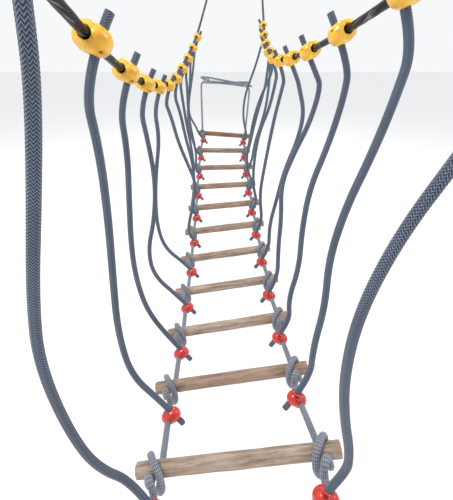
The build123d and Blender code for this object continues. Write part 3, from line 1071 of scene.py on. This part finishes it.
def add_connectors(side, colour, body, places, halves, material, screw_material):
    for mesh, label in zip(halves, ("rope_shell", "dropper_shell")):
        for number, place in enumerate(places, 1):
            piece = add_object(f"{side}_{colour}_{label}_{number:02d}", mesh, material)
            piece.matrix_world = place
            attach(piece, body)
            if number == 1:
                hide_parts(f"{side}_{colour}_{label}s")
    merged = bmesh.new()
    for place in places:
        for sign in (-1, 1):
            one = SCREW.copy()
            one.transform(place @ Matrix.Translation((sign * SCREW_AT, sign * SCREW_AT, 0)))
            merged.from_mesh(one)
            bpy.data.meshes.remove(one)
    mesh = bpy.data.meshes.new(f"{side}_{colour}_screw_set")
    merged.to_mesh(mesh)
    merged.free()
    mesh.set_sharp_from_angle(angle=radians(35))
    screws = add_object(f"{side}_{colour}_screw_set", mesh, screw_material)
    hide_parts(f"{side}_{colour}_screws")
    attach(screws, body)


# ---- Rungs ----
RUNG_AROUND = 64
RUNG_STEP = 0.004
RUNG_END_ROUND = 0.0025
RUNG_WAVES = 14
RUNG_SEED = 100
RUNG_SURFACE_DROP = 0.0003


def rung_mesh(name, index):
    """A turned dowel: eased ends, slight flats and dents along it, a flat end grain."""
    generator = np.random.default_rng(RUNG_SEED + index)
    half = RUNG_LENGTH / 2
    along = np.concatenate(
        [
            [-half, -half, -half + 0.0003, -half + 0.0012, -half + RUNG_END_ROUND],
            np.arange(-half + 0.008, half - 0.007, RUNG_STEP),
            [half - RUNG_END_ROUND, half - 0.0012, half - 0.0003, half, half],
        ]
    )
    shrink = np.zeros(len(along))
    shrink[[0, -1]] = 0.010
    shrink[[1, -2]] = 0.0026
    shrink[[2, -3]] = 0.0013
    shrink[[3, -4]] = 0.0004
    turn = np.arange(RUNG_AROUND) / RUNG_AROUND
    wave = np.zeros((len(along), RUNG_AROUND))
    for _ in range(RUNG_WAVES):
        times = generator.integers(1, 7)
        length = generator.uniform(0.05, 0.5)
        height = generator.uniform(0.00004, 0.00016)
        wave += height * np.cos(
            tau * (times * turn[None, :] + along[:, None] / length + generator.uniform(0, 1))
        )
    radius = RUNG_RADIUS - RUNG_SURFACE_DROP + wave - shrink[:, None]
    ring_x = np.repeat(along[:, None], RUNG_AROUND, axis=1)
    ring_y = radius * np.cos(tau * turn)[None, :]
    ring_z = radius * np.sin(tau * turn)[None, :]
    vertices = np.stack([ring_x, ring_y, ring_z], axis=2).reshape(-1, 3)
    faces = []
    for ring in range(len(along) - 1):
        low = ring * RUNG_AROUND
        for a in range(RUNG_AROUND):
            b = (a + 1) % RUNG_AROUND
            faces.append((low + a, low + RUNG_AROUND + a, low + RUNG_AROUND + b, low + b))
    last = (len(along) - 1) * RUNG_AROUND
    faces.append(tuple(range(RUNG_AROUND)))
    faces.append(tuple(last + a for a in reversed(range(RUNG_AROUND))))
    mesh = bpy.data.meshes.new(name)
    mesh.from_pydata(vertices.tolist(), [], faces)
    offset = generator.uniform(0, 10)
    places = np.empty(len(mesh.loops), int)
    mesh.loops.foreach_get("vertex_index", places)
    ring = places // RUNG_AROUND
    around = (places % RUNG_AROUND) / RUNG_AROUND * tau * RUNG_RADIUS
    uv = np.stack([vertices[places, 0] + offset, around], axis=1)
    layer = mesh.uv_layers.new(name="grain")
    layer.data.foreach_set("uv", uv.astype(np.float32).ravel())
    end = ((ring <= 1) | (ring >= len(along) - 2)).astype(np.float32)
    marks = np.zeros(len(mesh.vertices), np.float32)
    marks[places] = end
    mesh.attributes.new("end_grain", "FLOAT", "POINT").data.foreach_set("value", marks)
    tint = RUNG_TINTS[index]
    mesh.attributes.new("tint", "FLOAT", "POINT").data.foreach_set(
        "value", np.full(len(mesh.vertices), tint, np.float32)
    )
    mesh.polygons.foreach_set("use_smooth", [True] * len(mesh.polygons))
    mesh.update()
    return mesh


RUNG_TINTS = [0.0, 0.35, 0.15, 0.1, 0.2, 0.25, 0.3, 0.35, 0.4, 0.45, 0.9]


def add_rungs(material):
    for index in range(RUNG_COUNT):
        node = f"rung_{index + 1:02d}"
        mesh = rung_mesh(f"{node}_dowel", index)
        piece = add_object(f"{node}_dowel", mesh, material)
        piece.matrix_world = rung_matrix(index)
        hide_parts(node)
        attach(piece, node)


add_camera()
add_studio()
foot_material = foot_rope_material()
rail_material = handrail_material()
knit_material = dropper_material()
red_material = plastic_material(
    "glossy_red_plastic", (0.56, 0.018, 0.010), (0.72, 0.040, 0.022), (0.30, 0.006, 0.005), 0.16
)
yellow_material = plastic_material(
    "glossy_yellow_plastic", (0.80, 0.44, 0.022), (0.90, 0.58, 0.06), (0.55, 0.25, 0.010), 0.18
)
steel_material = metal_material("screw_steel", (0.50, 0.50, 0.52), 0.28)
eye_material = metal_material("cast_aluminium", (0.60, 0.61, 0.63), 0.34)
SCREW = screw_mesh()
red_halves = connector_halves("small_bean", bean_body(*RED_BODY))
yellow_halves = connector_halves("large_bean", bean_body(*YELLOW_BODY), YELLOW_MOUTH)
for side_name, side_sign in SIDES.items():
    add_foot_rope(side_name, side_sign, foot_material)
    add_handrail(side_name, side_sign, rail_material)
    reds = red_matrices(side_sign)
    yellows = yellow_matrices(side_sign)
    for rung_index in range(RUNG_COUNT):
        add_dropper(
            side_name, side_sign, rung_index, reds[rung_index], yellows[rung_index], knit_material
        )
    add_connectors(side_name, "red", "deck", reds, red_halves, red_material, steel_material)
    add_connectors(
        side_name, "yellow", f"{side_name}_handrail", yellows, yellow_halves, yellow_material, steel_material
    )
    for fitting in ("foot_rope_eye", "handrail_near_eye", "handrail_far_eye", "tree_loop_clamp"):
        carried = nodes[f"{side_name}_{fitting}"].data.materials
        carried.clear()
        carried.append(eye_material)
add_rungs(wood_material())
